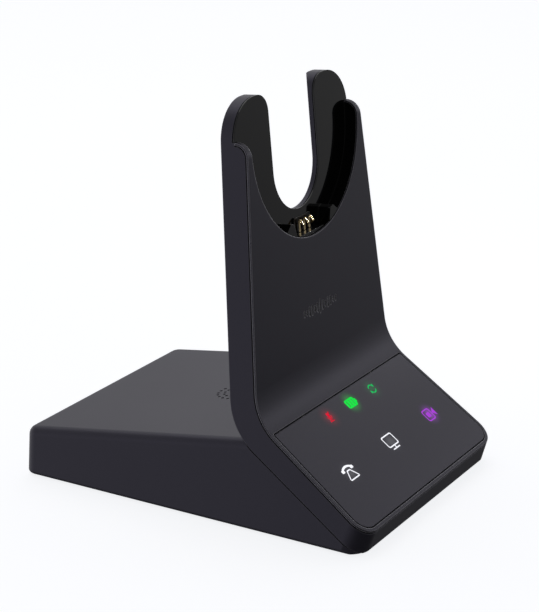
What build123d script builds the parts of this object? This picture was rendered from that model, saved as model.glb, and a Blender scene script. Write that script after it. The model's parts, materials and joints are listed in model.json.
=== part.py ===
from build123d import *
import os
from math import cos, radians, sin

# Charging base for a wireless office headset. A bent slab carries the touch panel and rises
# into a two-pronged cradle; a wedge-shaped housing behind it holds the electronics.
# Millimetres. X runs across the base, Y from the user to the wall, Z up from the desk.

os.makedirs("parts", exist_ok=True)

# --- outer form -------------------------------------------------------------------------
BASE_WIDTH = 92.0          # across the sides at their foot
SIDE_DRAFT = 0.0972        # how far each side leans in per millimetre of height
FRONT_Y = -63.22           # the touch panel's front edge
FOOT_PROUD = 0.6           # the feet lift the housings off the desk
BASE_DEPTH = 126.44        # from the touch panel's front edge to the rear wall
PANEL_ANGLE = 35.5         # slope of the touch panel
PANEL_EDGE_Z = 7.1         # height of the panel's front edge above the housing's foot
PANEL_RUN = 48.14          # along the panel, from its front edge to the bend
LEAN = 5.44                # how far the upright leans back
FRONT_BEND = 18.0          # inside radius of the bend between panel and upright
REAR_BEND = 20.0           # outside radius of the same bend, at the back
THICKNESS = 9.36           # of the upright, front to back
UNDERSIDE_ANGLE = 33.9     # slope of the slab's underside
UNDERSIDE_FOOT = 2.83      # where the underside meets the foot plane
SKIRT_FOOT = 2.2           # where the front skirt meets the foot plane
TOP_ANGLE = 8.73           # the wedge's top rises towards the upright
REAR_TOP_Z = 15.45         # height of the wedge's rear edge
PANEL_CORNER = 6.5         # radius of the two front corners

# --- cradle, measured up the upright from the bend --------------------------------------
STEP = 4.65                # the front prongs stop this far in front of the cradle's face
FRONT_PRONG_TOP = 83.5
PRONG_TOP = 95.1
CUP_RISE = 80.0            # centre of the round seat for the ear cup
CUP_RADIUS = 32.7
SLOT_RISE = 69.7           # centre of the round end of the slot between the prongs
SLOT_RADIUS = 14.0
SLOT_LIP = 2.3             # straight part of the slot's edge, behind the cradle's face
SLOT_FLARE = 4.2           # from there the slot opens this much wider at the back
PRONG_OUTER = 13.0
PRONG_INNER = 6.0

# --- walls, gaps and small edges --------------------------------------------------------
WALL = 2.0
SLAB_WALL = 1.3            # side walls of the rear shell
GAP = 0.2                  # hairline between two covers
SEAM = 0.3                 # shadow line round the cradle and the wedge
REVEAL = 0.4               # wider shadow line round the front cover and the panel
REVEAL_DEPTH = 0.6
FIT = 0.1                  # clearance between a part and the pocket it drops into
SKIN = 0.65                # thickness of a cover where it laps over the wall behind it
COVER = 2.0                # thickness of the front cover inside the walls
PLATE = 2.0                # thickness of the cradle plate
COLLAR = 0.6               # thickness of the cradle's round wall
REACH = 70.0               # longer than any half width
RUN_OUT = 6.0              # how far a cutting shape runs past the edge it cuts

# --- touch panel, in its own plane: X across, Y up the slope from the front edge --------
RIM = 1.5                  # width of the cover's border round the touch panel
CREASE = 41.6              # the seam between touch panel and upright
PANEL_DEPTH = 1.1
LEDGE = 2.6
KEY_PITCH = 27.5
KEY_Y = 18.9
LAMP_PITCH = 14.2
LAMP_Y = 36.8
INLAY = 0.3
STROKE = 0.42
BAR_PITCH = 1.66           # sound-wave sign inlaid in the upright
BAR_WIDTH = 0.7
BAR_RISE = 24.0
BAR_DEPTH = 0.3

# --- electronics ------------------------------------------------------------------------
BOARD_Z = 5.0
BOARD = 1.6
BOARD_REAR_Y = 60.4
BOARD_LENGTH = 60.0
SOCKET_Z = 8.9
REAR_Y = FRONT_Y + BASE_DEPTH


def meet(p, p_angle, q, q_angle):
    """Crossing of two straight lines in the side view, each a point and a slope in degrees."""
    a, b = radians(p_angle), radians(q_angle)
    along = ((q[0] - p[0]) * sin(b) - (q[1] - p[1]) * cos(b)) / (cos(a) * sin(b) - sin(a) * cos(b))
    return (p[0] + along * cos(a), p[1] + along * sin(a))


def side(setback, height):
    """Point in the side view, from its setback behind the front edge and its height."""
    return (FRONT_Y + setback, FOOT_PROUD + height)


BEND = (PANEL_RUN * cos(radians(PANEL_ANGLE)), PANEL_EDGE_Z + PANEL_RUN * sin(radians(PANEL_ANGLE)))


def up(rise, depth):
    """Point in the side view, from its rise up the upright and its depth behind the front."""
    lean = radians(LEAN)
    setback = BEND[0] + rise * sin(lean) + depth * cos(lean)
    return side(setback, BEND[1] + rise * cos(lean) - depth * sin(lean))


def half_width(height):
    return BASE_WIDTH / 2 - SIDE_DRAFT * height


def plane_at(point, slope):
    """Plane across the product whose own Y runs up the slope and whose normal faces the user."""
    a = radians(slope)
    return Plane(origin=(0, point[0], point[1]), x_dir=(1, 0, 0), z_dir=(0, -sin(a), cos(a)))


PANEL = plane_at(side(0, PANEL_EDGE_Z), PANEL_ANGLE)
UPRIGHT = plane_at(side(*BEND), 90 - LEAN)
UNDERSIDE = plane_at(side(UNDERSIDE_FOOT, 0), UNDERSIDE_ANGLE)
TOP_REAR = side(BASE_DEPTH, REAR_TOP_Z)
TOP = Plane(
    origin=(0, TOP_REAR[0], TOP_REAR[1]),
    x_dir=(1, 0, 0),
    z_dir=(0, sin(radians(TOP_ANGLE)), cos(radians(TOP_ANGLE))),
)
REAR_CORNER = meet(up(0, THICKNESS), 90 - LEAN, side(UNDERSIDE_FOOT, 0), UNDERSIDE_ANGLE)


def envelope(inset):
    """Tall block between the two leaning sides, pulled in by inset."""
    foot, top = half_width(-20) - inset, half_width(160) - inset
    with BuildPart() as block:
        with BuildSketch(Plane.XZ):
            with BuildLine():
                low, high = FOOT_PROUD - 20, FOOT_PROUD + 160
                Polyline((-foot, low), (foot, low), (top, high), (-top, high), close=True)
            make_face()
        extrude(amount=2 * REACH, both=True)
    return block.part


def across(outline, inset=0.0):
    """Side-view face made solid across the product, between its leaning sides."""
    with BuildPart() as solid:
        with BuildSketch(Plane.YZ):
            add(outline)
        extrude(amount=REACH, both=True)
        add(envelope(inset), mode=Mode.INTERSECT)
    return solid.part


def slab_outline():
    """Side view of the bent slab: skirt, touch panel, upright, stepped top and back."""
    with BuildSketch() as outline:
        with BuildLine():
            edge = side(0, PANEL_EDGE_Z)
            front = FilletPolyline(edge, side(*BEND), up(FRONT_PRONG_TOP - STEP, 0), radius=FRONT_BEND)
            step = JernArc(front @ 1, front % 1, radius=STEP, arc_size=-90)
            Polyline(step @ 1, up(PRONG_TOP, STEP), up(PRONG_TOP, THICKNESS))
            foot = side(UNDERSIDE_FOOT, 0)
            FilletPolyline(up(PRONG_TOP, THICKNESS), REAR_CORNER, foot, radius=REAR_BEND)
            Polyline(foot, side(SKIRT_FOOT, 0), edge)
        make_face()
    return outline.sketch


def front_band(depth):
    """Everything between the slab's front surface and a surface that far behind it."""
    slope = radians(PANEL_ANGLE)
    start = side(-RUN_OUT * cos(slope), PANEL_EDGE_Z - RUN_OUT * sin(slope))
    with BuildPart() as solid:
        with BuildSketch(Plane.YZ):
            with BuildLine():
                front = FilletPolyline(start, side(*BEND), up(FRONT_PRONG_TOP - STEP, 0), radius=FRONT_BEND)
                JernArc(front @ 1, front % 1, radius=STEP, arc_size=-90)
                offset(amount=depth, side=Side.RIGHT)
            make_face()
        extrude(amount=REACH, both=True)
    return solid.part


def rear_band(depth, where):
    """Everything within that distance of the slab's underside and back, inside or outside it."""
    slope = radians(UNDERSIDE_ANGLE)
    start = side(UNDERSIDE_FOOT - RUN_OUT * cos(slope), -RUN_OUT * sin(slope))
    with BuildPart() as solid:
        with BuildSketch(Plane.YZ):
            with BuildLine():
                FilletPolyline(start, REAR_CORNER, up(PRONG_TOP + RUN_OUT, THICKNESS), radius=REAR_BEND)
                offset(amount=depth, side=where)
            make_face()
        extrude(amount=REACH, both=True)
    return solid.part


def wedge_outline(inset=0.0):
    """Side view of the wedge-shaped housing; its front reaches inside the slab."""
    with BuildSketch() as outline:
        with BuildLine():
            foot = side(UNDERSIDE_FOOT, 0)
            inside = meet(foot, UNDERSIDE_ANGLE + 6, TOP_REAR, -TOP_ANGLE)
            Polyline(foot, inside, TOP_REAR, side(BASE_DEPTH, 0), close=True)
        make_face()
        if inset:
            offset(amount=-inset, kind=Kind.INTERSECTION)
    return outline.sketch


def panel_outline(inset):
    """Outline of the touch panel, drawn in or let out, with rounded front corners."""
    slope = SIDE_DRAFT * sin(radians(PANEL_ANGLE))
    edge = half_width(PANEL_EDGE_Z) - RIM - inset
    low, high = RIM + inset, CREASE - inset
    with BuildSketch() as outline:
        with BuildLine():
            near, far = edge - slope * low, edge - slope * high
            Polyline((-near, low), (near, low), (far, high), (-far, high), close=True)
        make_face()
        fillet(outline.vertices().group_by(Axis.Y)[0], PANEL_CORNER - RIM - inset)
        fillet(outline.vertices().group_by(Axis.Y)[-1], 0.6)
    return outline.sketch


def inside_walls(inset):
    """Everything within the slab's side walls and behind its front skirt."""
    slope = SIDE_DRAFT * sin(radians(PANEL_ANGLE))
    edge = half_width(PANEL_EDGE_Z) - inset
    far = 2 * REACH
    with BuildPart() as block:
        with BuildSketch(PANEL):
            with BuildLine():
                narrow = edge - slope * far
                Polyline((-edge, inset), (edge, inset), (narrow, far), (-narrow, far), close=True)
            face = make_face()
            fillet(face.vertices().group_by(Axis.Y)[0], PANEL_CORNER - inset)
        extrude(amount=REACH, both=True)
        add(envelope(inset), mode=Mode.INTERSECT)
    return block.part


def upright_outline(low, high, inset, corner=0.0):
    """Front view of a stretch of the upright, its sides drawn in by inset."""
    lean = cos(radians(LEAN))
    near = half_width(BEND[1] + low * lean) - inset
    far = half_width(BEND[1] + high * lean) - inset
    with BuildSketch() as outline:
        with BuildLine():
            Polyline((-near, low), (near, low), (far, high), (-far, high), close=True)
        make_face()
        if corner:
            fillet(outline.vertices().group_by(Axis.Y)[-1], corner)
    return outline.sketch


def cup_outline(radius):
    """Round seat, open upwards."""
    with BuildSketch() as outline:
        with Locations((0, CUP_RISE)):
            Circle(radius)
        with Locations((0, CUP_RISE + REACH / 2)):
            Rectangle(2 * radius, REACH)
    return outline.sketch


def slot_outline(radius):
    """Slot between the prongs, round at its foot and open upwards."""
    with BuildSketch() as outline:
        with Locations((0, SLOT_RISE)):
            Circle(radius)
        with Locations((0, SLOT_RISE + REACH / 2)):
            Rectangle(2 * radius, REACH)
    return outline.sketch


def slot_mouth():
    """Solid that splays the slot open towards the back of the prongs."""
    slope = SLOT_FLARE / (THICKNESS - STEP - SLOT_LIP)
    with BuildPart() as mouth:
        for depth in (STEP + SLOT_LIP, THICKNESS + 1):
            with BuildSketch(UPRIGHT.offset(-depth)):
                add(slot_outline(SLOT_RADIUS + slope * (depth - STEP - SLOT_LIP)))
        loft()
    return mouth.part


def without_slot(outline, rim):
    """Outline with the slot and a rim round it taken away, rounded where the prongs end."""
    with BuildSketch() as rest:
        add(outline)
        add(slot_outline(SLOT_RADIUS + rim), mode=Mode.SUBTRACT)
        prong_ends = rest.vertices().group_by(Axis.Y)[-1]
        fillet(prong_ends.filter_by(lambda v: abs(v.X) < SLOT_RADIUS + rim + 0.1), PRONG_INNER - rim)
    return rest.sketch


def prism(plane, outline, start, end):
    """Sketch made solid between two depths behind a plane."""
    with BuildPart() as solid:
        with BuildSketch(plane.offset(-start)):
            add(outline)
        extrude(amount=start - end)
    return solid.part


def pillars(plane, points, radius, start, end):
    """Round posts or holes at points of a plane, between two depths behind it."""
    with BuildPart() as posts:
        with BuildSketch(plane.offset(-start)):
            with Locations(*points):
                Circle(radius)
        extrude(amount=start - end)
    return posts.part


def brick(x, y, z):
    """Box between two limits on each axis."""
    with BuildPart() as block:
        with BuildSketch(Plane.XY.offset(z[0])):
            with Locations(((x[0] + x[1]) / 2, (y[0] + y[1]) / 2)):
                Rectangle(x[1] - x[0], y[1] - y[0])
        extrude(amount=z[1] - z[0])
    return block.part


def sound_bars(y):
    """Row of rounded bars like a spoken word seen as a sound wave."""
    with BuildSketch() as symbol:
        for step in range(-6, 7):
            tall = 1.4 + 3.2 * abs(cos(step * 0.9)) * (1 - abs(step) / 9)
            with Locations((step * BAR_PITCH, y)):
                SlotOverall(tall, BAR_WIDTH, rotation=90)
    return symbol.sketch


def finish(builder, name):
    """Label a finished piece and write it."""
    builder.part.label = name
    export_step(builder.part, "parts/" + name + ".step")


# --- slab: the outer form shared by rear shell, front cover and cradle ------------------
with BuildPart() as slab:
    add(across(slab_outline()))
    skirt_ends = slab.edges().filter_by(lambda e: e.center().Y < FRONT_Y + 2 and abs(e.center().X) > 40)
    fillet(skirt_ends.filter_by(lambda e: e.length > 5), PANEL_CORNER)
    add(prism(UPRIGHT, slot_outline(SLOT_RADIUS), -THICKNESS, 2 * THICKNESS), mode=Mode.SUBTRACT)
    ridge = up(PRONG_TOP - 1, 0)[1]
    tops = slab.edges().filter_by(lambda e: e.center().Z > ridge and abs(e.length - THICKNESS + STEP) < 0.2)
    fillet(tops.filter_by(lambda e: abs(e.center().X) > 20), PRONG_OUTER)
    fillet(tops.filter_by(lambda e: abs(e.center().X) < 20), PRONG_INNER)
    add(slot_mouth(), mode=Mode.SUBTRACT)

WINDOW = panel_outline(LEDGE)
UNDER_BOSSES = [(x, y) for x in (-38, 38) for y in (16, 38)]
COVER_BOSSES = [(x, 43.5) for x in (-22, 22)]
CABLE_SLOT = brick((-4, 16), (FRONT_Y + 37.5, FRONT_Y + 43), (FOOT_PROUD + 18, FOOT_PROUD + 28))
CUP_WALL = CUP_RADIUS + COLLAR + FIT
PLATE_LOW = CUP_RISE - CUP_RADIUS - 2.1
FLANGE = 0.45
CONTACT_HALF = 7.4
BLOCK_FACE = 0.9
BLOCK_TOP = 48.5
BLOCK_STEP = 45.0
BLOCK_FOOT = 41.5

# --- rear shell: the tray that makes the sides, back and underside of the slab ----------
with BuildPart() as hollow:
    add(slab.part)
    add(inside_walls(SLAB_WALL), mode=Mode.INTERSECT)
    add(rear_band(WALL, Side.LEFT), mode=Mode.SUBTRACT)
    add(prism(UPRIGHT, upright_outline(PLATE_LOW - 1, 2 * REACH, -REACH), -REACH, REACH), mode=Mode.SUBTRACT)

with BuildPart() as neck_posts:
    add(pillars(UNDERSIDE, UNDER_BOSSES, 2.6, -4.2, -0.5))
    add(pillars(UNDERSIDE, COVER_BOSSES, 2.4, -4.6, -0.5))

with BuildPart() as rear_shell:
    add(slab.part)
    add(front_band(SKIN + REVEAL), mode=Mode.SUBTRACT)
    add(hollow.part, mode=Mode.SUBTRACT)
    add(neck_posts.part)
    add(pillars(UNDERSIDE, UNDER_BOSSES, 0.95, -3.9, 1), mode=Mode.SUBTRACT)
    add(pillars(UNDERSIDE, COVER_BOSSES, 1.2, -5, 1), mode=Mode.SUBTRACT)
    add(pillars(UNDERSIDE, COVER_BOSSES, 2.2, -1.5, 1), mode=Mode.SUBTRACT)
    pocket = upright_outline(PLATE_LOW - 1, PRONG_TOP - SLAB_WALL, SLAB_WALL, PRONG_OUTER - SLAB_WALL)
    add(prism(UPRIGHT, without_slot(pocket, SLAB_WALL), -1, STEP + PLATE + FIT), mode=Mode.SUBTRACT)
    prong_lap = upright_outline(FRONT_PRONG_TOP, PRONG_TOP + 1, -2)
    slot_lap = slot_outline(SLOT_RADIUS + SLAB_WALL + 1)
    for lap in (prong_lap, slot_lap):
        add(prism(UPRIGHT, lap, -1, STEP + FLANGE + SEAM), mode=Mode.SUBTRACT)
    add(prism(UPRIGHT, cup_outline(CUP_WALL), -1, STEP + FIT), mode=Mode.SUBTRACT)
    add(CABLE_SLOT, mode=Mode.SUBTRACT)
finish(rear_shell, "rear_shell")

# --- front cover: bent skin of the upright that also frames the touch panel -------------
with BuildPart() as cover_core:
    add(slab.part)
    add(front_band(COVER), mode=Mode.INTERSECT)
    add(inside_walls(SLAB_WALL + FIT), mode=Mode.INTERSECT)
    add(prism(UPRIGHT, cup_outline(CUP_WALL), -1, STEP + FIT), mode=Mode.SUBTRACT)

with BuildPart() as reveal_floor:
    add(slab.part)
    add(front_band(SKIN + REVEAL), mode=Mode.INTERSECT)
    add(inside_walls(REVEAL_DEPTH), mode=Mode.INTERSECT)
    add(prism(UPRIGHT, cup_outline(CUP_WALL), -1, STEP + FIT), mode=Mode.SUBTRACT)

with BuildPart() as cover_bosses:
    add(pillars(UNDERSIDE, COVER_BOSSES, 2.4, -12, -4.7))
    add(slab.part, mode=Mode.INTERSECT)

with BuildPart() as front_cover:
    add(slab.part)
    add(front_band(SKIN), mode=Mode.INTERSECT)
    add(cover_core.part)
    add(reveal_floor.part)
    add(cover_bosses.part)
    add(pillars(UNDERSIDE, COVER_BOSSES, 0.85, -8, -4), mode=Mode.SUBTRACT)
    add(prism(UPRIGHT, cup_outline(CUP_RADIUS), -1, STEP + FIT), mode=Mode.SUBTRACT)
    with BuildSketch(UPRIGHT.offset(-BLOCK_FACE + FIT)):
        with Locations((0, BLOCK_STEP + 2)):
            Rectangle(2 * (CONTACT_HALF + FIT), 4 + 2 * FIT)
    extrude(amount=-COVER, mode=Mode.SUBTRACT)
    add(prism(PANEL, panel_outline(-REVEAL), -1, PANEL_DEPTH), mode=Mode.SUBTRACT)
    add(prism(PANEL, WINDOW, -1, COVER + 1), mode=Mode.SUBTRACT)
    add(prism(UPRIGHT, sound_bars(BAR_RISE), -1, BAR_DEPTH), mode=Mode.SUBTRACT)
finish(front_cover, "front_cover")

with BuildPart() as sound_wave_inlay:
    add(prism(UPRIGHT, sound_bars(BAR_RISE), BAR_DEPTH - 0.2, BAR_DEPTH))
finish(sound_wave_inlay, "sound_wave_inlay")

# --- cradle insert: gloss plate, round wall and two guide cheeks ------------------------
CHEEK = [(9.4, 46.0), (11.4, 53.2), (13.2, 53.8), (16.4, 51.4), (18.0, 46.5)]
CHEEK_FACE = 0.25

with BuildPart() as collar:
    add(prism(UPRIGHT, cup_outline(CUP_RADIUS + COLLAR), 0, STEP))
    add(prism(UPRIGHT, cup_outline(CUP_RADIUS), -1, STEP + 1), mode=Mode.SUBTRACT)
    add(slab.part, mode=Mode.INTERSECT)
    add(front_band(SKIN), mode=Mode.SUBTRACT)

with BuildPart() as cheeks:
    with BuildSketch(UPRIGHT.offset(-CHEEK_FACE)):
        with BuildLine():
            Polyline(*CHEEK, close=True)
        cheek_face = make_face()
        fillet(cheek_face.vertices().sort_by(Axis.Y)[-2:], 0.45)
        mirror(about=Plane.YZ)
    extrude(amount=CHEEK_FACE - STEP)
    add(prism(UPRIGHT, cup_outline(CUP_RADIUS), 0, STEP), mode=Mode.INTERSECT)

with BuildPart() as cradle_insert:
    rim = SLAB_WALL + FIT
    plate = upright_outline(PLATE_LOW + FIT, PRONG_TOP - rim, rim, PRONG_OUTER - rim)
    add(prism(UPRIGHT, without_slot(plate, rim), STEP, STEP + PLATE))
    prong_flange = upright_outline(FRONT_PRONG_TOP + FIT, PRONG_TOP + 1, -2)
    slot_flange = slot_outline(SLOT_RADIUS + rim + 0.5)
    for flange in (prong_flange, slot_flange):
        add(prism(UPRIGHT, flange, STEP, STEP + FLANGE))
    add(slab.part, mode=Mode.INTERSECT)
    add(collar.part)
    add(cheeks.part)
    with BuildSketch(UPRIGHT):
        with Locations((0, CUP_RISE - CUP_RADIUS)):
            Rectangle(2 * (CONTACT_HALF + FIT), 4)
    extrude(amount=-STEP, mode=Mode.SUBTRACT)
finish(cradle_insert, "cradle_insert")

# --- contact block and the three sprung charging contacts -------------------------------
CONTACT_PITCH = 3.0
CONTACT_X = {"left": -CONTACT_PITCH, "centre": 0.0, "right": CONTACT_PITCH}
LEAF = 0.25
LEAF_WIDTH = 1.0
LEG_DEPTH = 3.85
SCREEN = 4.15              # depth of the thin screen that stands behind the contacts
SCREEN_TOP = 53.4
SCREEN_HALF = 5.2

with BuildPart() as contact_block:
    with BuildSketch(UPRIGHT.offset(-BLOCK_FACE)):
        with Locations((0, (BLOCK_TOP + BLOCK_STEP) / 2)):
            Rectangle(2 * CONTACT_HALF, BLOCK_TOP - BLOCK_STEP)
    extrude(amount=BLOCK_FACE - (STEP - FIT))
    with BuildSketch(UPRIGHT.offset(-(COVER + GAP))):
        with Locations((0, (BLOCK_STEP + BLOCK_FOOT) / 2)):
            Rectangle(2 * CONTACT_HALF + 8, BLOCK_STEP - BLOCK_FOOT)
    extrude(amount=COVER + GAP - (STEP - FIT))
    with BuildSketch(UPRIGHT.offset(-SCREEN)):
        with Locations((0, (SCREEN_TOP + BLOCK_STEP) / 2)):
            RectangleRounded(2 * SCREEN_HALF, SCREEN_TOP - BLOCK_STEP, 0.8)
    extrude(amount=SCREEN - (STEP - FIT))
    with BuildSketch(UPRIGHT.offset(-(LEG_DEPTH - 0.65))):
        with Locations((0, (BLOCK_TOP + BLOCK_FOOT) / 2)):
            with GridLocations(CONTACT_PITCH, 1, 3, 1):
                Rectangle(LEAF_WIDTH + 0.7, BLOCK_TOP - BLOCK_FOOT + 2)
    extrude(amount=LEG_DEPTH - 0.65 - SCREEN, mode=Mode.SUBTRACT)
finish(contact_block, "contact_block")


def contact_leaf(x):
    """Hairpin of gilt strip: a straight leg, a rolled crest and a slope facing the user."""
    with BuildPart() as leaf:
        with BuildSketch(Plane.YZ.offset(x - LEAF_WIDTH / 2)):
            with BuildLine():
                crest = [up(42.6, LEG_DEPTH), up(53.5, LEG_DEPTH - 0.2), up(51.1, 1.85), up(50.3, 2.3)]
                FilletPolyline(*crest, radius=[0.4, 0.3])
                offset(amount=LEAF, side=Side.LEFT)
            make_face()
        extrude(amount=LEAF_WIDTH)
    return leaf


for place, x in CONTACT_X.items():
    finish(contact_leaf(x), "charge_contact_" + place)

with BuildPart() as contact_board:
    with BuildSketch(UPRIGHT.offset(-2.4)):
        with Locations((0, BLOCK_FOOT - 0.5)):
            Rectangle(24, 0.8)
    extrude(amount=2.4 - 6.8)
finish(contact_board, "contact_board")


def flat_cable(x, route, radii):
    """Ribbon six millimetres wide that follows a route in the side view."""
    with BuildPart() as ribbon:
        with BuildSketch(Plane.YZ.offset(x - 3)):
            with BuildLine():
                FilletPolyline(*route, radius=radii)
                offset(amount=0.3, side=Side.LEFT)
            make_face()
        extrude(amount=6)
    return ribbon


CABLE_END = [side(40.2, 18.0), side(54, 7.4), side(64.0, 7.4)]
contact_route = [up(BLOCK_FOOT - 0.9, 5.6), up(6, 5.2), side(40.2, 28.5), *CABLE_END]
finish(flat_cable(0, contact_route, [6, 3, 6, 5]), "contact_cable")
touch_route = [side(30.6, 23.2), side(36.5, 27.1), side(40.2, 28.0), *CABLE_END]
finish(flat_cable(12, touch_route, [3, 2.4, 6, 5]), "touch_cable")

# --- touch panel, its coloured windows, light guide and board ---------------------------
def ring(width, height, corner, centre):
    """Rounded outline one stroke wide."""
    with BuildSketch() as outline:
        with Locations(centre):
            RectangleRounded(width, height, corner)
            RectangleRounded(width - 2 * STROKE, height - 2 * STROKE, corner - STROKE / 2, mode=Mode.SUBTRACT)
    return outline.sketch


def telephone(x, y):
    """Desk telephone: a handset over a sloping body."""
    with BuildSketch() as symbol:
        with BuildLine():
            base = [(x - 3.1, y - 2.7), (x + 3.1, y - 2.7), (x + 0.9, y + 0.9), (x - 0.9, y + 0.9)]
            Polyline(*base, close=True)
        body = make_face()
        fillet(body.vertices(), 0.5)
        offset(body, amount=-STROKE, kind=Kind.INTERSECTION, mode=Mode.SUBTRACT)
        SlotArc(CenterArc((x, y - 2.2), 4.4, 55, 70), 0.75)
        with Locations((x - 2.55, y + 1.15), (x + 2.55, y + 1.15)):
            RectangleRounded(1.5, 1.1, 0.3)
    return symbol.sketch


def monitor(x, y):
    """Computer screen on a foot."""
    with BuildSketch() as symbol:
        add(ring(6.3, 4.5, 0.7, (x, y + 0.7)))
        with Locations((x, y - 2.0)):
            Rectangle(STROKE, 1.2)
        with Locations((x, y - 2.5)):
            RectangleRounded(4.2, STROKE, 0.2)
    return symbol.sketch


def camera(x, y):
    """Video camera, the sign for an online call."""
    with BuildSketch() as symbol:
        add(ring(4.6, 4.6, 0.9, (x - 0.9, y)))
        with Locations((x + 1.2, y)):
            Polygon((0.3, 0), (2.1, 1.7), (2.1, -1.7), align=None)
        with Locations((x - 0.9, y)):
            RectangleRounded(2.0, 1.8, 0.4)
    return symbol.sketch


def microphone(x, y):
    """Struck-out microphone, the sign for mute."""
    with BuildSketch() as symbol:
        with Locations((x, y + 0.6)):
            SlotOverall(2.2, 1.1, rotation=90)
        SlotArc(CenterArc((x, y + 0.3), 1.15, 180, 180), 0.25)
        with Locations((x, y - 1.2)):
            Rectangle(0.3, 0.9)
        with Locations((x, y - 1.65)):
            Rectangle(1.7, 0.3)
        with Locations((x, y)):
            Rectangle(4.4, 0.4, rotation=55)
    return symbol.sketch


def battery(x, y):
    """Full battery."""
    with BuildSketch() as symbol:
        with Locations((x - 0.2, y)):
            RectangleRounded(5.4, 3.4, 0.8)
        with Locations((x + 2.7, y)):
            RectangleRounded(0.8, 1.5, 0.3)
        with Locations((x - 1.7, y), (x - 0.2, y), (x + 1.3, y)):
            Rectangle(0.25, 2.3, mode=Mode.SUBTRACT)
    return symbol.sketch


def call_loop(x, y):
    """Broken ring with a tail, the sign for an open line."""
    with BuildSketch() as symbol:
        SlotArc(CenterArc((x, y), 1.5, 20, 130), 0.42)
        SlotArc(CenterArc((x, y), 1.5, 200, 130), 0.42)
        with Locations((x + 1.5, y + 0.9), (x - 1.5, y - 0.9)):
            Rectangle(0.42, 1.1)
    return symbol.sketch


SYMBOLS = {
    "key_windows_white": [telephone(-KEY_PITCH, KEY_Y), monitor(0, KEY_Y)],
    "key_window_violet": [camera(KEY_PITCH, KEY_Y)],
    "mute_lamp_window": [microphone(-LAMP_PITCH, LAMP_Y)],
    "battery_lamp_window": [battery(0, LAMP_Y)],
    "call_lamp_window": [call_loop(LAMP_PITCH, LAMP_Y)],
}

with BuildPart() as touch_panel:
    add(prism(PANEL, panel_outline(0), 0, PANEL_DEPTH))
    for faces in SYMBOLS.values():
        for face in faces:
            add(prism(PANEL, face, -1, INLAY), mode=Mode.SUBTRACT)
finish(touch_panel, "touch_panel")

for name, faces in SYMBOLS.items():
    with BuildPart() as windows:
        for face in faces:
            add(prism(PANEL, face, 0, INLAY))
    finish(windows, name)

KEY_SPOTS = [(x * KEY_PITCH, KEY_Y) for x in (-1, 0, 1)]
LAMP_SPOTS = [(x * LAMP_PITCH, LAMP_Y - 1.2) for x in (-1, 0, 1)]
GUIDE_DEPTH = 3.2
with BuildPart() as light_guide:
    add(prism(PANEL, panel_outline(LEDGE + FIT), PANEL_DEPTH, GUIDE_DEPTH))
    add(pillars(PANEL, KEY_SPOTS, 4.2, 0, 9), mode=Mode.SUBTRACT)
    add(pillars(PANEL, LAMP_SPOTS, 3.0, 0, 9), mode=Mode.SUBTRACT)
finish(light_guide, "light_guide")

with BuildPart() as touch_board:
    with BuildSketch(PANEL.offset(-GUIDE_DEPTH)):
        with Locations((0, (LEDGE + CREASE) / 2)):
            RectangleRounded(68, CREASE - LEDGE - 7, 1.5)
    extrude(amount=-1.0)
finish(touch_board, "touch_board")

with BuildPart() as panel_leds:
    with BuildSketch(PANEL.offset(-GUIDE_DEPTH)):
        with Locations(*KEY_SPOTS, *LAMP_SPOTS):
            Rectangle(1.6, 0.8)
    extrude(amount=0.7)
finish(panel_leds, "panel_leds")

# --- base housing: wedge behind and under the slab --------------------------------------
CASE_SCREWS = [(x, y) for x in (-38.5, 38.5) for y in (-38, 55)]
FEET = [(x, y) for x in (-29, 29) for y in (-38, 52)]
BOARD_SCREWS = [(x, y) for x in (-31, 31) for y in (5, 40)]
COVER_TOP = FOOT_PROUD + 2.1
POST_FOOT = COVER_TOP + 0.1
OPENING = ((-41.5, 41.5), (FRONT_Y + 16, REAR_Y - 3.2))
BOARD_TOP = BOARD_Z + BOARD
SPEAKER_SPOT = (0, -55.3)
SPEAKER_RADIUS = 13.8
SPEAKER_FACE = WALL + 0.8
SPEAKER_RINGS = {2.6: 8, 4.9: 14, 7.1: 20}

with BuildPart() as plan_view:
    with BuildSketch() as plan_outline:
        with Locations((0, FRONT_Y + SKIRT_FOOT + REACH)):
            Rectangle(BASE_WIDTH, 2 * REACH)
        fillet(plan_outline.vertices().group_by(Axis.Y)[0], PANEL_CORNER + 1)
    extrude(amount=REACH)

with BuildPart() as wedge:
    add(across(wedge_outline()))
    add(plan_view.part, mode=Mode.INTERSECT)
    rear_corners = wedge.edges().filter_by(lambda e: e.center().Y > REAR_Y - 1 and abs(e.center().X) > 40)
    fillet(rear_corners, 4.0)
    for normal, radius in ((TOP.z_dir, 3.0), (Vector(0, 0, -1), 1.2)):
        face = wedge.faces().sort_by(lambda f: f.normal_at().dot(normal))[-1]
        rim = face.edges().filter_by(lambda e: e.center().Y > FRONT_Y + 8)
        fillet(rim.filter_by(lambda e: abs(e.center().X) > 1 or e.center().Y > 0), radius)

with BuildPart() as slab_room:
    add(across(slab_outline()))
    add(rear_band(SEAM, Side.RIGHT))

with BuildPart() as wedge_hollow:
    add(across(wedge_outline(WALL), WALL))
    add(slab.part, mode=Mode.SUBTRACT)
    add(rear_band(SEAM + WALL, Side.RIGHT), mode=Mode.SUBTRACT)
    add(brick(*OPENING, (FOOT_PROUD - 1, COVER_TOP + 1)))

with BuildPart() as case_posts:
    add(pillars(Plane.XY, CASE_SCREWS, 3.0, -40, -POST_FOOT))
    add(wedge.part, mode=Mode.INTERSECT)
    add(slab_room.part, mode=Mode.SUBTRACT)

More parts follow.
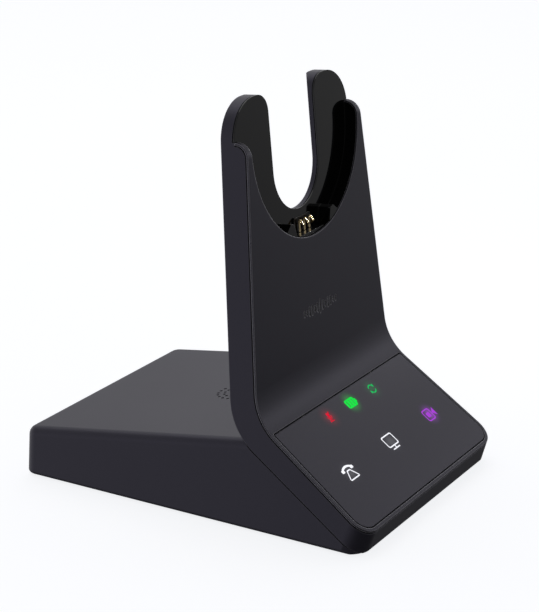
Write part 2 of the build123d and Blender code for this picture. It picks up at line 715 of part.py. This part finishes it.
BARREL = {"width": 9.0, "low": 4.6, "high": 12.8, "length": 13.0, "face": REAR_Y - 2.2}
USB = {"width": 9.0, "low": BOARD_TOP, "high": BOARD_TOP + 3.3, "length": 7.5, "face": REAR_Y - 0.5}
JACK = {"width": 11.0, "low": 4.4, "high": 13.2, "length": 13.0, "face": REAR_Y - 0.6}
SOCKETS = {
    "power_socket": {"x": -27.0, **BARREL},
    "usb_socket": {"x": -11.0, **USB},
    "desk_phone_socket": {"x": 6.0, **JACK},
    "handset_socket": {"x": 24.0, **JACK},
}


def socket_body(place, margin=0.0, front=0.0):
    """Block of a socket, let out by margin and run on past its mouth."""
    x = (place["x"] - place["width"] / 2 - margin, place["x"] + place["width"] / 2 + margin)
    y = (place["face"] - place["length"], place["face"] + front)
    return brick(x, y, (place["low"] - margin, place["high"] + margin))


with BuildPart() as base_housing:
    add(wedge.part)
    add(slab_room.part, mode=Mode.SUBTRACT)
    add(wedge_hollow.part, mode=Mode.SUBTRACT)
    add(case_posts.part)
    with BuildSketch(TOP.offset(-WALL)):
        with Locations(SPEAKER_SPOT):
            Circle(SPEAKER_RADIUS + 1.4)
            Circle(SPEAKER_RADIUS + 0.15, mode=Mode.SUBTRACT)
    extrude(amount=-4)
    with BuildSketch(TOP):
        with Locations(SPEAKER_SPOT):
            Circle(0.55)
            for radius, count in SPEAKER_RINGS.items():
                with PolarLocations(radius, count):
                    Circle(0.55)
    extrude(amount=-2 * WALL, mode=Mode.SUBTRACT)
    add(pillars(Plane.XY, CASE_SCREWS, 1.25, -11, -1), mode=Mode.SUBTRACT)
    add(pillars(UNDERSIDE, UNDER_BOSSES, 1.2, -1, 4), mode=Mode.SUBTRACT)
    add(CABLE_SLOT, mode=Mode.SUBTRACT)
    for name, place in SOCKETS.items():
        if name != "power_socket":
            add(socket_body(place, 0.15, front=2), mode=Mode.SUBTRACT)
    with BuildSketch(Plane.XZ.offset(-REAR_Y - 1)):
        with Locations((SOCKETS["power_socket"]["x"], SOCKET_Z - 0.2)):
            Circle(3.9)
    extrude(amount=WALL + 2, mode=Mode.SUBTRACT)
finish(base_housing, "base_housing")

# --- bottom cover, feet, label and ballast ----------------------------------------------
with BuildPart() as bottom_cover:
    with BuildSketch(Plane.XY.offset(FOOT_PROUD)):
        x_span, y_span = OPENING
        with Locations((0, (y_span[0] + y_span[1]) / 2)):
            Rectangle(x_span[1] - x_span[0] - 2 * GAP, y_span[1] - y_span[0] - 2 * GAP)
    extrude(amount=COVER_TOP - FOOT_PROUD)
    add(pillars(Plane.XY, BOARD_SCREWS, 2.6, -BOARD_Z, -COVER_TOP))
    add(pillars(Plane.XY, BOARD_SCREWS, 0.85, -BOARD_Z, -COVER_TOP - 0.4), mode=Mode.SUBTRACT)
    add(pillars(Plane.XY, FEET, 6.1, -FOOT_PROUD - 0.8, 0), mode=Mode.SUBTRACT)
    add(pillars(Plane.XY, CASE_SCREWS, 1.5, -8, 0), mode=Mode.SUBTRACT)
    add(pillars(Plane.XY, CASE_SCREWS, 2.5, -FOOT_PROUD - 1.3, 0), mode=Mode.SUBTRACT)
finish(bottom_cover, "bottom_cover")

with BuildPart() as rubber_feet:
    add(pillars(Plane.XY, FEET, 6.0, -FOOT_PROUD - 0.8, 0))
    chamfer(rubber_feet.edges().group_by(Axis.Z)[0], 0.25)
finish(rubber_feet, "rubber_feet")

with BuildPart() as blank_label:
    add(brick((-19, 19), (-12, 14), (FOOT_PROUD - 0.1, FOOT_PROUD)))
    fillet(blank_label.edges().filter_by(Axis.Z), 2)
finish(blank_label, "blank_label")

PAD_TOP = COVER_TOP + 0.4
with BuildPart() as ballast_pad:
    add(brick((-30, 30), (-39, -9), (COVER_TOP, PAD_TOP)))
finish(ballast_pad, "ballast_pad")

with BuildPart() as ballast_plate:
    add(brick((-33, 33), (-42, -6), (PAD_TOP, PAD_TOP + 4)))
    fillet(ballast_plate.edges().filter_by(Axis.Z), 3)
    chamfer(ballast_plate.edges().group_by(Axis.Z)[-1], 0.4)
finish(ballast_plate, "ballast_plate")

# --- main board and what stands on it ---------------------------------------------------
with BuildPart() as main_board:
    add(brick((-35, 35), (BOARD_REAR_Y - BOARD_LENGTH, BOARD_REAR_Y), (BOARD_Z, BOARD_TOP)))
    fillet(main_board.edges().filter_by(Axis.Z), 1.5)
    add(pillars(Plane.XY, BOARD_SCREWS, 1.1, -8, -1), mode=Mode.SUBTRACT)
    for name, place in SOCKETS.items():
        if place["low"] < BOARD_Z:
            add(socket_body(place, 0.15, front=4), mode=Mode.SUBTRACT)
finish(main_board, "main_board")

with BuildPart() as shield_can:
    add(brick((-14, 14), (10, 32), (BOARD_TOP, BOARD_TOP + 3.2)))
    fillet(shield_can.edges().filter_by(Axis.Z), 1)
    add(brick((-13.7, 13.7), (10.3, 31.7), (BOARD_TOP - 1, BOARD_TOP + 2.9)), mode=Mode.SUBTRACT)
finish(shield_can, "shield_can")

CABLE_SOCKETS = [((-4.5, 4.5), (0.8, 5), 2.2), ((7.5, 16.5), (0.8, 5), 2.2)]
CHIPS = [((-30, -20), (14, 24), 1.2), ((20, 27), (16, 23), 1.0), ((-4, 4), (38, 43), 1.1)]
COILS = [((-27, -24), (28, 34), 2.4), ((20, 30), (28, 33), 1.6), ((14, 17), (38, 41), 1.8)]
with BuildPart() as board_components:
    for x, y, height in CABLE_SOCKETS + CHIPS + COILS:
        add(brick(x, y, (BOARD_TOP, BOARD_TOP + height)))
finish(board_components, "board_components")

# Two stamped inverted-F aerials at the board's front corners.
with BuildPart() as aerials:
    for x in (-1, 1):
        span = sorted((x * 20, x * 33))
        add(brick(span, (1.6, 2.0), (BOARD_TOP + 3, BOARD_TOP + 6)))
        for foot in (20.5, 26):
            add(brick(sorted((x * foot, x * (foot + 1))), (1.6, 2.0), (BOARD_TOP, BOARD_TOP + 3)))
finish(aerials, "aerials")

# --- sockets in the rear wall -----------------------------------------------------------
with BuildPart() as power_socket:
    place = SOCKETS["power_socket"]
    add(socket_body(place))
    with BuildSketch(Plane.XZ.offset(-place["face"])):
        with Locations((place["x"], SOCKET_Z - 0.2)):
            Circle(3.15)
            Circle(1.0, mode=Mode.SUBTRACT)
    extrude(amount=9.5, mode=Mode.SUBTRACT)
finish(power_socket, "power_socket")

with BuildPart() as usb_socket:
    place = SOCKETS["usb_socket"]
    centre = (place["x"], (place["low"] + place["high"]) / 2)
    with BuildSketch(Plane.XZ.offset(-place["face"])):
        with Locations(centre):
            SlotOverall(8.9, 3.2)
    extrude(amount=place["length"])
    with BuildSketch(Plane.XZ.offset(-place["face"])):
        with Locations(centre):
            SlotOverall(8.3, 2.6)
            Rectangle(6.6, 0.7, mode=Mode.SUBTRACT)
    extrude(amount=6.2, mode=Mode.SUBTRACT)
finish(usb_socket, "usb_socket")

JACK_NAMES = ("desk_phone_socket", "handset_socket")
JACK_DEPTH = 10.5
JACK_FLOOR = 6.3
JACK_ROOF = 12.5
JACK_PITCH = 1.02
MOUTH_Y = JACK["face"]
for name in JACK_NAMES:
    x = SOCKETS[name]["x"]
    with BuildPart() as jack:
        add(socket_body(SOCKETS[name]))
        room = brick((x - 3.9, x + 3.9), (MOUTH_Y - JACK_DEPTH, MOUTH_Y + 1), (JACK_FLOOR, JACK_ROOF))
        add(room, mode=Mode.SUBTRACT)
        latch = brick((x - 1.7, x + 1.7), (MOUTH_Y - 9, MOUTH_Y + 1), (JACK_FLOOR - 1.3, JACK_FLOOR + 0.1))
        add(latch, mode=Mode.SUBTRACT)
    finish(jack, name)

with BuildPart() as jack_contacts:
    for name in JACK_NAMES:
        for step in (-1.5, -0.5, 0.5, 1.5):
            with BuildSketch(Plane.YZ.offset(SOCKETS[name]["x"] + step * JACK_PITCH - 0.2)):
                with BuildLine():
                    root, tip = MOUTH_Y - 3.5, MOUTH_Y - 9
                    high, low = JACK_ROOF, JACK_ROOF - 1.7
                    Polyline((root, high), (root - 0.5, high), (tip, low), (tip + 0.5, low), close=True)
                make_face()
            extrude(amount=0.4)
finish(jack_contacts, "jack_contacts")

# --- ringer -----------------------------------------------------------------------------
with BuildPart() as ringer_gasket:
    with BuildSketch(TOP.offset(-WALL)):
        with Locations(SPEAKER_SPOT):
            Circle(SPEAKER_RADIUS - 0.2)
            Circle(10, mode=Mode.SUBTRACT)
    extrude(amount=WALL - SPEAKER_FACE)
finish(ringer_gasket, "ringer_gasket")

with BuildPart() as ringer:
    add(pillars(TOP, [SPEAKER_SPOT], SPEAKER_RADIUS, SPEAKER_FACE, SPEAKER_FACE + 2.4))
    add(pillars(TOP, [SPEAKER_SPOT], 8.5, SPEAKER_FACE + 2.4, SPEAKER_FACE + 5.6))
    add(pillars(TOP, [SPEAKER_SPOT], 11.5, SPEAKER_FACE, SPEAKER_FACE + 1.0), mode=Mode.SUBTRACT)
finish(ringer, "ringer")

# --- fasteners --------------------------------------------------------------------------
def screws(name, plane, spots, head, shank):
    """Alike screws as separate solids; head and shank are (radius, start, end) behind the plane."""
    with BuildPart() as group:
        add(pillars(plane, spots, *head))
        add(pillars(plane, spots, *shank))
        add(pillars(plane, spots, head[0] * 0.4, head[2] - 0.6, head[2] + 1), mode=Mode.SUBTRACT)
    finish(group, name)


CASE_HEAD = FOOT_PROUD + 1.3
screws("case_screws", Plane.XY, CASE_SCREWS, (2.4, -CASE_HEAD, -FOOT_PROUD), (1.2, -9.5, -CASE_HEAD))
NECK_HEAD = WALL + SEAM
screws("neck_screws", UNDERSIDE, UNDER_BOSSES, (2.0, NECK_HEAD, NECK_HEAD + 1.4), (0.9, -3.7, NECK_HEAD))
screws("cover_screws", UNDERSIDE, COVER_BOSSES, (2.0, -1.5, -0.2), (0.8, -7.5, -1.5))

with BuildPart() as board_screws:
    add(pillars(Plane.XY, BOARD_SCREWS, 1.9, -BOARD_TOP - 1.3, -BOARD_TOP))
    add(pillars(Plane.XY, BOARD_SCREWS, 0.8, -BOARD_TOP, -COVER_TOP - 0.6))
    add(pillars(Plane.XY, BOARD_SCREWS, 0.75, -BOARD_TOP - 2, -BOARD_TOP - 0.7), mode=Mode.SUBTRACT)
finish(board_screws, "board_screws")
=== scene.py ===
"""Looks of the headset charging base: materials, small edges, floor, light and camera."""
import json
import math

import bpy
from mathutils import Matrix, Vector


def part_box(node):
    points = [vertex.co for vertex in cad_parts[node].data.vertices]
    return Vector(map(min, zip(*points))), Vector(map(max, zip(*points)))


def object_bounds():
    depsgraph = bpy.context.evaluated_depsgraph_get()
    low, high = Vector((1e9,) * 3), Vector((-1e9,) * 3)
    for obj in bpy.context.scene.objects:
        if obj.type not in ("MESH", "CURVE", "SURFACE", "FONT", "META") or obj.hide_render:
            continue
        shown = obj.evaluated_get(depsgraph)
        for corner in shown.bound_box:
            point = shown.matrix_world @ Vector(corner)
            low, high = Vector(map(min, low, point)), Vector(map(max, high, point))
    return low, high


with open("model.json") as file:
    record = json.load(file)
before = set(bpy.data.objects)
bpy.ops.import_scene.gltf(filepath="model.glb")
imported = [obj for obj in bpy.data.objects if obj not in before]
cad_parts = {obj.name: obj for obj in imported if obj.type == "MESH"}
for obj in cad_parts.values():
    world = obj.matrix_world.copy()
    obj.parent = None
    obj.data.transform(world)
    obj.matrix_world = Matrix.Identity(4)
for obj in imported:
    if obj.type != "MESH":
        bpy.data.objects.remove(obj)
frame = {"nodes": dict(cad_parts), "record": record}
CAD_BOX = [list(corner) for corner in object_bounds()]
MM = 0.001

# --- lit windows: node, colour, brightness of the window, glow it throws on the panel -----
WINDOWS = [
    ("key_windows_white", (0.90, 0.91, 0.97), 1.10, 0.055),
    ("key_window_violet", (0.42, 0.05, 0.72), 0.92, 0.45),
    ("mute_lamp_window", (0.74, 0.0, 0.025), 0.95, 0.16),
    ("battery_lamp_window", (0.0, 0.76, 0.055), 0.98, 0.40),
    ("call_lamp_window", (0.0, 0.52, 0.11), 1.0, 0.12),
]
GLOW_START = 1.0 * MM        # distance from a symbol's middle where its glow begins to fade
GLOW_REACH = 5.2 * MM        # and where it ends
GLOW_POWER = 2.4
SYMBOL_GAP = 8 * MM          # symbols of one node stand further apart than this


def middle(points):
    """Centre of the box round some points."""
    return Vector([(min(axis) + max(axis)) / 2 for axis in zip(*points)])


def window_centres(name):
    """Middle of each symbol in a node, told apart by the gaps between them along X."""
    vertices = frame["nodes"][name].data.vertices
    points = sorted((vertex.co.copy() for vertex in vertices), key=lambda point: point.x)
    groups = [[points[0]]]
    for point in points[1:]:
        if point.x - groups[-1][-1].x > SYMBOL_GAP:
            groups.append([])
        groups[-1].append(point)
    return [middle(group) for group in groups]


# --- node helpers ------------------------------------------------------------------------
NOISE_SPAN = (0.3, 0.7)      # where nearly all of a noise pattern's values lie
BEVEL_SAMPLES = 6


class Recipe:
    """A material under construction, with short ways to add and join its nodes."""

    def __init__(self, name):
        self.material = bpy.data.materials.new(name)
        self.material.use_nodes = True
        self.tree = self.material.node_tree
        self.shader = self.tree.nodes["Principled BSDF"]
        self.place = self.add("ShaderNodeTexCoord").outputs["Object"]

    def add(self, kind, **settings):
        node = self.tree.nodes.new(kind)
        for key, value in settings.items():
            setattr(node, key, value)
        return node

    def join(self, source, target):
        self.tree.links.new(source, target)

    def noise(self, size, detail=2.0, roughness=0.5):
        """Cloudy pattern whose lumps are about size metres across."""
        node = self.add("ShaderNodeTexNoise")
        node.inputs["Scale"].default_value = 1 / size
        node.inputs["Detail"].default_value = detail
        node.inputs["Roughness"].default_value = roughness
        self.join(self.place, node.inputs["Vector"])
        return node.outputs["Fac"]

    def ramp(self, source, low, high, start=0.0, end=1.0):
        """Maps source from start..end to low..high, numbers or colours alike."""
        if isinstance(low, (int, float)):
            node = self.add("ShaderNodeMapRange")
            limits = {"From Min": start, "From Max": end, "To Min": low, "To Max": high}
            for key, value in limits.items():
                node.inputs[key].default_value = value
            self.join(source, node.inputs["Value"])
            return node.outputs["Result"]
        node = self.add("ShaderNodeValToRGB")
        first, last = node.color_ramp.elements
        first.position, last.position = start, end
        first.color, last.color = (*low, 1), (*high, 1)
        self.join(source, node.inputs["Fac"])
        return node.outputs["Color"]

    def soft_normal(self, radius):
        """Surface normal with the sharp edges rounded over."""
        node = self.add("ShaderNodeBevel", samples=BEVEL_SAMPLES)
        node.inputs["Radius"].default_value = radius
        return node.outputs["Normal"]

    def bump(self, source, height, strength=1.0, edge=0.0):
        """Fine relief, over edges softened by a radius of edge metres."""
        node = self.add("ShaderNodeBump")
        node.inputs["Distance"].default_value = height
        node.inputs["Strength"].default_value = strength
        self.join(source, node.inputs["Height"])
        if edge:
            self.join(self.soft_normal(edge), node.inputs["Normal"])
        self.join(node.outputs["Normal"], self.shader.inputs["Normal"])

    def maths(self, operation, first, second):
        """One sum on values or sockets."""
        node = self.add("ShaderNodeMath", operation=operation)
        for socket, value in zip(node.inputs, (first, second)):
            if isinstance(value, (int, float)):
                socket.default_value = value
            else:
                self.join(value, socket)
        return node.outputs["Value"]

    def set(self, **values):
        for key, value in values.items():
            self.shader.inputs[key.replace("_", " ")].default_value = value


PLASTIC_TINT = (0.96, 0.92, 1.20)
NEUTRAL = (1, 1, 1)
# Painted highlight: within this radius of a sharp edge a moulding gets a paler base colour, standing in
# for light caught by the rounded edge.
PAINTED_HIGHLIGHT_RADIUS = 0.50 * MM
PAINTED_HIGHLIGHT_COLOUR = (0.70, 0.69, 0.72, 1)
HIGHLIGHT_FROM, HIGHLIGHT_TO = 0.84, 0.99   # agreement of soft and true normal, from edge to flat face
GRAIN_CONTRAST = 0.16
PATCHINESS = 0.012                # how much a moulding's roughness wanders
SMEARS = (0.6, 1.5)               # least and most roughness of a polished face, as factors
POLISH = (0.8, 1.3)               # the same for metal
METAL_CONTRAST = 0.82


def scaled(colour, factor):
    return tuple(channel * factor for channel in colour)


def moulded(name, colour, roughness=0.42, grain=0.30 * MM, height=0.010 * MM, tint=PLASTIC_TINT,
            edge=0.30 * MM, painted_highlight=0.0):
    """Injection-moulded plastic with a spark-eroded grain and soft edges, and optionally a painted
    highlight: a paler colour along sharp edges that stands in for the light they catch.
    """
    recipe = Recipe(name)
    fine = recipe.noise(grain, detail=3.0, roughness=0.6)
    cloud = recipe.noise(60 * MM, detail=2.0)
    dark, light = scaled(colour, 1 - GRAIN_CONTRAST), scaled(colour, 1 + GRAIN_CONTRAST)
    tone = recipe.ramp(fine, dark, light, *NOISE_SPAN)
    # Painted highlight: the colour turns pale where the rounded normal leans away from the true face,
    # that is along sharp edges.
    if painted_highlight:
        flat = recipe.add("ShaderNodeNewGeometry").outputs["True Normal"]
        agree = recipe.add("ShaderNodeVectorMath", operation="DOT_PRODUCT")
        recipe.join(recipe.soft_normal(PAINTED_HIGHLIGHT_RADIUS), agree.inputs[0])
        recipe.join(flat, agree.inputs[1])
        highlight_mask = recipe.ramp(agree.outputs["Value"], painted_highlight, 0.0, HIGHLIGHT_FROM, HIGHLIGHT_TO)
        highlighted = recipe.add("ShaderNodeMix", data_type="RGBA")
        recipe.join(highlight_mask, highlighted.inputs["Factor"])
        recipe.join(tone, highlighted.inputs["A"])
        highlighted.inputs["B"].default_value = PAINTED_HIGHLIGHT_COLOUR
        tone = highlighted.outputs["Result"]
    recipe.join(tone, recipe.shader.inputs["Base Color"])
    patchy = recipe.ramp(cloud, roughness - PATCHINESS, roughness + PATCHINESS, *NOISE_SPAN)
    recipe.join(patchy, recipe.shader.inputs["Roughness"])
    recipe.set(Specular_Tint=(*tint, 1))
    recipe.bump(fine, height, edge=edge)
    return recipe


def gloss(name, colour, roughness=0.05, edge=0.15 * MM):
    """Polished plastic with a few hair-fine wipe marks."""
    recipe = Recipe(name)
    cloud = recipe.noise(9 * MM, detail=5.0)
    recipe.set(Base_Color=(*colour, 1), Specular_IOR_Level=0.41)
    smears = recipe.ramp(cloud, roughness * SMEARS[0], roughness * SMEARS[1], *NOISE_SPAN)
    recipe.join(smears, recipe.shader.inputs["Roughness"])
    recipe.bump(recipe.noise(3 * MM), 0.002 * MM, 0.4, edge=edge)
    return recipe


def lit_panel(name, colour):
    """Dark film over the touch board, which catches a soft glow round each lit symbol."""
    recipe = moulded(name, colour, roughness=0.40, grain=0.28 * MM, height=0.006 * MM)
    total = None
    for node, tone, _, glow in WINDOWS:
        for centre in window_centres(node):
            apart = recipe.add("ShaderNodeVectorMath", operation="DISTANCE")
            recipe.join(recipe.place, apart.inputs[0])
            apart.inputs[1].default_value = centre
            near = recipe.ramp(apart.outputs["Value"], 1.0, 0.0, GLOW_START, GLOW_REACH)
            falloff = recipe.maths("MULTIPLY", recipe.maths("POWER", near, GLOW_POWER), glow)
            tinted = recipe.add("ShaderNodeVectorMath", operation="SCALE")
            tinted.inputs[0].default_value = tone
            recipe.join(falloff, tinted.inputs["Scale"])
            if total is None:
                total = tinted.outputs["Vector"]
            else:
                both = recipe.add("ShaderNodeVectorMath", operation="ADD")
                recipe.join(total, both.inputs[0])
                recipe.join(tinted.outputs["Vector"], both.inputs[1])
                total = both.outputs["Vector"]
    recipe.join(total, recipe.shader.inputs["Emission Color"])
    recipe.set(Emission_Strength=1.0)
    return recipe


def metal(name, colour, roughness, grain=0.25 * MM):
    """Plated or brushed metal."""
    recipe = Recipe(name)
    fine = recipe.noise(grain, detail=3.0)
    recipe.set(Metallic=1.0)
    tone = recipe.ramp(fine, scaled(colour, METAL_CONTRAST), colour, *NOISE_SPAN)
    polish = recipe.ramp(fine, roughness * POLISH[0], roughness * POLISH[1], *NOISE_SPAN)
    recipe.join(tone, recipe.shader.inputs["Base Color"])
    recipe.join(polish, recipe.shader.inputs["Roughness"])
    recipe.bump(fine, 0.004 * MM, 0.5)
    return recipe


def lamp(name, colour, strength):
    """Printed window lit from behind, a little mottled."""
    recipe = Recipe(name)
    recipe.set(Base_Color=(*scaled(colour, 0.3), 1), Roughness=0.5)
    recipe.set(Emission_Strength=strength, Specular_IOR_Level=0.1)
    speckle = recipe.noise(0.6 * MM, detail=1.0)
    mottled = recipe.ramp(speckle, scaled(colour, 0.85), colour, *NOISE_SPAN)
    recipe.join(mottled, recipe.shader.inputs["Emission Color"])
    return recipe


def circuit_board(name):
    """Green solder mask with copper tracks showing through as a faint grid."""
    recipe = Recipe(name)
    tracks = recipe.add("ShaderNodeTexBrick")
    tracks.inputs["Scale"].default_value = 180
    tracks.inputs["Color1"].default_value = (0.008, 0.075, 0.03, 1)
    tracks.inputs["Color2"].default_value = (0.01, 0.10, 0.04, 1)
    tracks.inputs["Mortar"].default_value = (0.02, 0.16, 0.06, 1)
    tracks.inputs["Mortar Size"].default_value = 0.03
    recipe.join(recipe.place, tracks.inputs["Vector"])
    recipe.join(tracks.outputs["Color"], recipe.shader.inputs["Base Color"])
    recipe.bump(tracks.outputs["Fac"], 0.01 * MM, 0.4)
    recipe.set(Roughness=0.3)
    return recipe


DARK = (0.0160, 0.0150, 0.0205)
COVER_DARK = (0.0060, 0.0052, 0.0100)
PANEL_DARK = (0.0165, 0.0152, 0.0215)
MATERIALS = {
    # Shell and cover get a painted highlight along their sharp edges, the cover a stronger one.
    "dark_plastic": moulded("moulded_shell", DARK, painted_highlight=0.10),
    "cover_plastic": moulded("moulded_cover", COVER_DARK, edge=0.55 * MM, painted_highlight=0.50),
    "panel_plastic": lit_panel("touch_panel_film", PANEL_DARK),
    "black_gloss": gloss("black_gloss", (0.0015, 0.0015, 0.0016)),
    "black_plastic": gloss("black_insert", (0.003, 0.003, 0.003), roughness=0.22),
    "clear_plastic": moulded("frosted_guide", (0.62, 0.65, 0.66), roughness=0.3, tint=NEUTRAL),
    "gilt_contact": metal("gilt", (0.62, 0.49, 0.27), 0.16),
    "plated_steel": metal("zinc_plate", (0.62, 0.62, 0.60), 0.35),
    "socket_steel": metal("nickel_plate", (0.68, 0.67, 0.65), 0.28),
    "ballast_steel": metal("black_oxide_iron", (0.10, 0.10, 0.10), 0.55),
    "board": circuit_board("solder_mask"),
    "ribbon": moulded("ribbon_film", (0.45, 0.20, 0.03), roughness=0.3, tint=NEUTRAL),
    "foam": moulded("open_foam", (0.02, 0.02, 0.02), 0.9, grain=0.8 * MM, height=0.15 * MM),
    "rubber": moulded("foot_rubber", (0.012, 0.012, 0.012), 0.75, grain=0.5 * MM, height=0.03 * MM),
    "label": moulded("label_film", (0.55, 0.55, 0.54), roughness=0.38, tint=NEUTRAL),
}
LENSES = ("white", "violet", "red", "green", "call_green")
for colour_name, (_, tone, strength, _) in zip(LENSES, WINDOWS):
    MATERIALS[colour_name + "_lens"] = lamp(colour_name + "_window", tone, strength)
SLOT_OF = {part["node"]: part["material_slot"] for part in frame["record"]["subparts"]}
SLOT_OF["call_lamp_window"] = "call_green_lens"
for name, piece in frame["nodes"].items():
    piece.data.materials.clear()
    piece.data.materials.append(MATERIALS[SLOT_OF[name]].material)

# --- floor, backdrop and light ------------------------------------------------------------
FLOOR_RADIUS = 40
FLOOR_GLOW = 0.865           # lifts the floor to the backdrop's white


def floor_material():
    """Pale studio floor that keeps only a faint shadow."""
    recipe = Recipe("studio_floor")
    cloud = recipe.noise(0.4, detail=2.0)
    tone = recipe.ramp(cloud, (0.30, 0.30, 0.31), (0.31, 0.31, 0.32), *NOISE_SPAN)
    recipe.join(tone, recipe.shader.inputs["Base Color"])
    recipe.set(Roughness=0.9, Emission_Color=(0.97, 0.98, 1.0, 1), Emission_Strength=FLOOR_GLOW)
    recipe.set(Specular_IOR_Level=0.0)
    return recipe.material


bpy.ops.mesh.primitive_circle_add(vertices=96, radius=FLOOR_RADIUS, fill_type="NGON")
floor = bpy.context.object
floor.name = "studio_floor"
floor.data.materials.append(floor_material())
floor.visible_glossy = False
floor.visible_diffuse = False

# Room seen in reflections: dim floor, haze above it that is brighter behind, one bright wall.
WALL_TOWARDS = Vector((0.90, -0.12, 0.45)).normalized()
WALL_EDGE, WALL_CORE = 0.62, 0.92   # cosines of the angles where the wall starts and is full
WALL_LEVEL = 0.335
SEEN_BACKDROP = (0.972, 0.98, 1.0, 1)   # what the camera sees past the floor's edge
HAZE = [(-1, 0.07), (-0.5, 0.17), (-0.42, 0.28), (-0.32, 0.46),
        (-0.15, 0.48), (0.12, 0.43), (0.4, 0.34), (0.75, 0.26), (1, 0.24)]
FRONT_TO_BACK = [(-1, 0.85), (-0.82, 0.44), (-0.5, 0.29),
                 (0, 0.95), (0.5, 1.40), (1, 1.80)]
world = bpy.data.worlds.new("studio")
bpy.context.scene.world = world
world.use_nodes = True
sky = world.node_tree
background = sky.nodes["Background"]


def sky_node(kind, inputs=(), **settings):
    """World node with its first inputs given as numbers, vectors or sockets."""
    node = sky.nodes.new(kind)
    for key, value in settings.items():
        setattr(node, key, value)
    for socket, value in zip(node.inputs, inputs):
        if isinstance(value, bpy.types.NodeSocket):
            sky.links.new(value, socket)
        else:
            socket.default_value = value
    return node


def fill_ramp(node, stops, blue=1.0):
    """Colour ramp over -1..1 from pairs of place and level."""
    while len(node.color_ramp.elements) < len(stops):
        node.color_ramp.elements.new(0.5)
    for stop, (place, level) in zip(node.color_ramp.elements, stops):
        stop.position = (place + 1) / 2
        stop.color = (level, level, level * blue, 1)


direction = sky.nodes.new("ShaderNodeTexCoord").outputs["Generated"]
split = sky_node("ShaderNodeSeparateXYZ", [direction])
height = sky_node("ShaderNodeMapRange", [split.outputs["Z"], -1.0, 1.0, 0.0, 1.0])
haze = sky_node("ShaderNodeValToRGB", [height.outputs["Result"]])
fill_ramp(haze, HAZE, blue=1.03)
depth = sky_node("ShaderNodeMapRange", [split.outputs["Y"], -1.0, 1.0, 0.0, 1.0])
behind = sky_node("ShaderNodeValToRGB", [depth.outputs["Result"]])
fill_ramp(behind, FRONT_TO_BACK)
levels = [haze.outputs["Color"], behind.outputs["Color"]]
room = sky_node("ShaderNodeVectorMath", levels, operation="MULTIPLY")
facing = sky_node("ShaderNodeVectorMath", [direction, WALL_TOWARDS], operation="DOT_PRODUCT")
wall_span = [facing.outputs["Value"], WALL_EDGE, WALL_CORE, 0.0, WALL_LEVEL]
wall = sky_node("ShaderNodeMapRange", wall_span, interpolation_type="SMOOTHSTEP")
parts = [room.outputs["Vector"], wall.outputs["Result"]]
lit_room = sky_node("ShaderNodeVectorMath", parts, operation="ADD")
rays = sky.nodes.new("ShaderNodeLightPath")
mix = sky.nodes.new("ShaderNodeMix")
mix.data_type = "RGBA"
mix.inputs["B"].default_value = SEEN_BACKDROP
sky.links.new(rays.outputs["Is Camera Ray"], mix.inputs["Factor"])
sky.links.new(lit_room.outputs["Vector"], mix.inputs["A"])
sky.links.new(mix.outputs["Result"], background.inputs["Color"])


def put(name, data, place, towards):
    """Light or camera at a place, looking along a direction."""
    placed = bpy.data.objects.new(name, data)
    placed.location = place
    placed.rotation_euler = Vector(towards).to_track_quat("-Z", "Y").to_euler()
    bpy.context.scene.collection.objects.link(placed)
    return placed


def soft_box(name, place, target, size, power):
    """Rectangular studio light at place, facing target."""
    data = bpy.data.lights.new(name, "AREA")
    data.shape = "RECTANGLE"
    data.size, data.size_y = size
    data.energy = power
    put(name, data, place, Vector(target) - Vector(place))


CENTRE = middle(CAD_BOX)
soft_box("top_box", (0.3, 0.35, 1.0), CENTRE, (1.0, 1.0), 2.2)
soft_box("panel_strip", (0.25, -0.03, 0.15), (0.03, -0.03, 0.03), (0.06, 0.06), 0.02)
soft_box("right_box", (0.42, -0.28, 0.20), CENTRE, (0.24, 0.12), 0.10)

# A narrow spot makes the tips of the charging contacts flash in the dark cup.
CONTACTS = middle(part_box("charge_contact_centre"))
CONTACT_TIPS = CONTACTS + Vector((0, 0, 6.0 * MM))
SPOT_PLACE = CONTACTS + Vector((0.424, -0.167, 0.253))
spot_data = bpy.data.lights.new("contact_spot", "SPOT")
spot_data.energy = 8.0
spot_data.spot_size = math.radians(1.2)
spot_data.spot_blend = 0.6
spot_data.shadow_soft_size = 0.03
put("contact_spot", spot_data, SPOT_PLACE, CONTACT_TIPS - SPOT_PLACE)

# --- camera -------------------------------------------------------------------------------
camera_data = bpy.data.cameras.new("view")
camera_data.lens = 113.85
CAMERA_PLACE = (-0.50618, -0.30290, 0.25607)
CAMERA_AIM = (0.8147, 0.4826, -0.3216)
bpy.context.scene.camera = put("view", camera_data, CAMERA_PLACE, CAMERA_AIM)
bpy.context.scene.view_settings.view_transform = "Standard"
